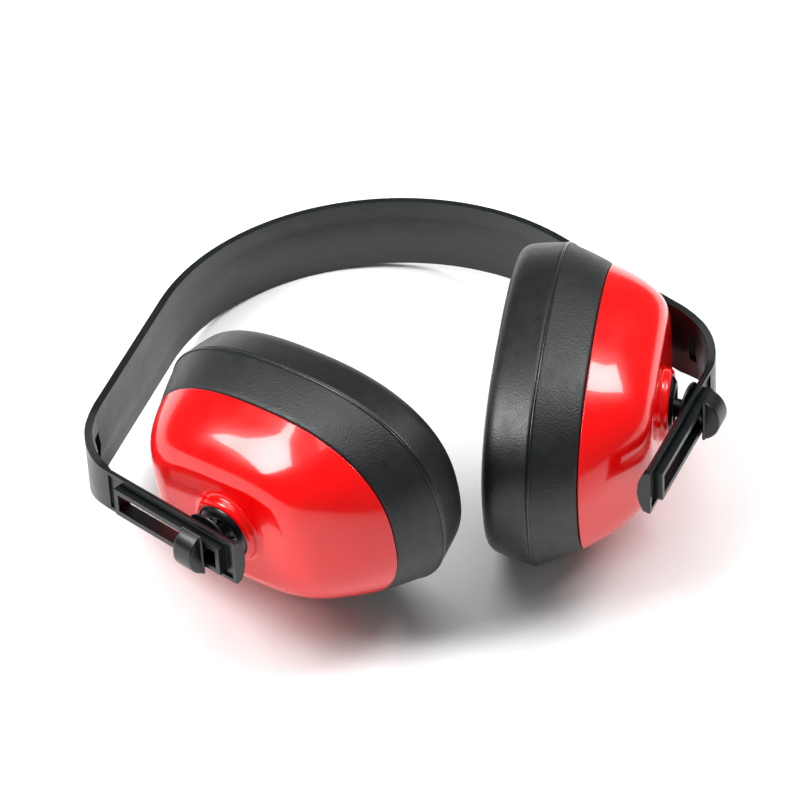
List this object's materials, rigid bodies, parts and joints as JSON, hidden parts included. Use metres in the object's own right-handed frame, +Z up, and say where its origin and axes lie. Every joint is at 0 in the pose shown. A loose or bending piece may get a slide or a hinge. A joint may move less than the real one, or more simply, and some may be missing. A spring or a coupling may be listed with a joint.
{
  "type": "earmuff hearing protector",
  "caption": "Over-the-head earmuffs with a black plastic headband, glossy red ear cups on sliding ball joints and black vinyl cushions, lying on their cushions and crown.",
  "frame": {"origin": "middle of the footprint, on the surface that the earmuffs lie on", "axes": "+Z up from the surface, +X across the head to the wearer's right cup, +Y from the cups towards the crown"},
  "size_m": [0.1952, 0.1608, 0.0807],
  "materials": {
    "band_plastic": "satin moulded polymer",
    "slider_plastic": "satin moulded polymer",
    "cage_plastic": "natural acetal",
    "shell_red": "high gloss",
    "inner_plastic": "moulded, unpolished",
    "lining_foam": "open-cell foam",
    "cushion_foam": "soft foam",
    "cushion_vinyl": "fine-grained vinyl"
  },
  "bodies": {
    "headband": {"headband": "band_plastic"},
    "left_slider": {"left_thumb_grip": "slider_plastic", "left_slider_shoe": "slider_plastic"},
    "left_cage": {"left_ball_cage": "cage_plastic"},
    "left_hub": {"left_pivot_hub": "slider_plastic", "left_hub_plug": "inner_plastic"},
    "left_cup": {"left_cup_shell": "shell_red", "left_socket_cap": "inner_plastic", "left_damping_foam": "lining_foam", "left_cushion_plate": "inner_plastic", "left_cushion_foam": "cushion_foam", "left_cushion_cover": "cushion_vinyl"},
    "right_slider": {"right_thumb_grip": "slider_plastic", "right_slider_shoe": "slider_plastic"},
    "right_cage": {"right_ball_cage": "cage_plastic"},
    "right_hub": {"right_pivot_hub": "slider_plastic", "right_hub_plug": "inner_plastic"},
    "right_cup": {"right_cup_shell": "shell_red", "right_socket_cap": "inner_plastic", "right_damping_foam": "lining_foam", "right_cushion_plate": "inner_plastic", "right_cushion_foam": "cushion_foam", "right_cushion_cover": "cushion_vinyl"}
  },
  "joints": [
    {"name": "left_slide", "type": "slide", "parent": "headband", "child": "left_slider", "axis": [0.5577, -0.802, 0.2137], "range_m": [-0.01, 0.0012]},
    {"name": "left_end_tilt", "type": "hinge", "parent": "left_slider", "child": "left_cage", "pos_m": [-0.06046, -0.05461, 0.03964], "axis": [0.0493, -0.225, -0.9731], "range_deg": [-6, 18]},
    {"name": "left_side_tilt", "type": "hinge", "parent": "left_cage", "child": "left_hub", "pos_m": [-0.06046, -0.05461, 0.03964], "axis": [-0.6265, 0.7518, -0.2055], "range_deg": [-10, 18]},
    {"name": "left_turn", "type": "hinge", "parent": "left_hub", "child": "left_cup", "pos_m": [-0.06046, -0.05461, 0.03964], "axis": [-0.7685, -0.6399, 0.0016], "range_deg": [-12, 12]},
    {"name": "right_slide", "type": "slide", "parent": "headband", "child": "right_slider", "axis": [-0.5765, -0.802, 0.1562], "range_m": [0, 0.008]},
    {"name": "right_end_tilt", "type": "hinge", "parent": "right_slider", "child": "right_cage", "pos_m": [0.07552, -0.03247, 0.04141], "axis": [-0.0493, 0.225, 0.9731], "range_deg": [-1.5, 5]},
    {"name": "right_side_tilt", "type": "hinge", "parent": "right_cage", "child": "right_hub", "pos_m": [0.07552, -0.03247, 0.04141], "axis": [-0.3815, -0.9047, 0.1898], "range_deg": [-4, 12]},
    {"name": "right_turn", "type": "hinge", "parent": "right_hub", "child": "right_cup", "pos_m": [0.07552, -0.03247, 0.04141], "axis": [-0.9236, 0.3646, -0.1185], "range_deg": [-5, 14]}
  ]
}
